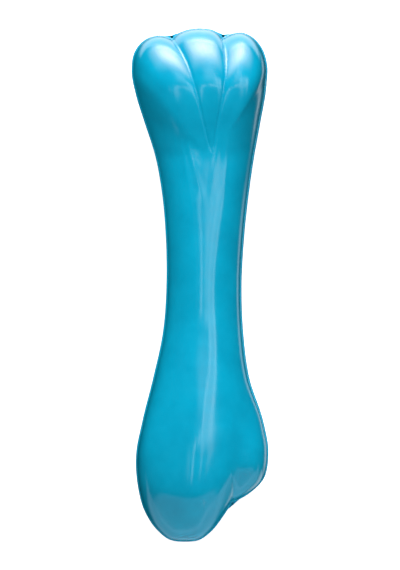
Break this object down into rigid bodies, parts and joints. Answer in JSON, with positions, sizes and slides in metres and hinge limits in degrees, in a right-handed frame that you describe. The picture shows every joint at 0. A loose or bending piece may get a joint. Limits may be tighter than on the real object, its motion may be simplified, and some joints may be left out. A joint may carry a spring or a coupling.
{
  "type": "chew bone",
  "caption": "Bone-shaped pet chew with a three-lobed end, a waisted round shaft and a two-knuckled end, moulded in two hollow halves that meet on a flat parting plane.",
  "frame": {"origin": "middle of the bone's box, on the surface that its rear half lies on", "axes": "+Y along the bone towards the three-lobed end, +Z out of the front half, +X to the right seen from the front"},
  "size_m": [0.044, 0.165, 0.0351],
  "materials": {
    "moulding": "moulded cyan-blue plastic with a satin gloss"
  },
  "bodies": {
    "root": {"front_shell": "moulding", "rear_shell": "moulding"}
  },
  "joints": []
}
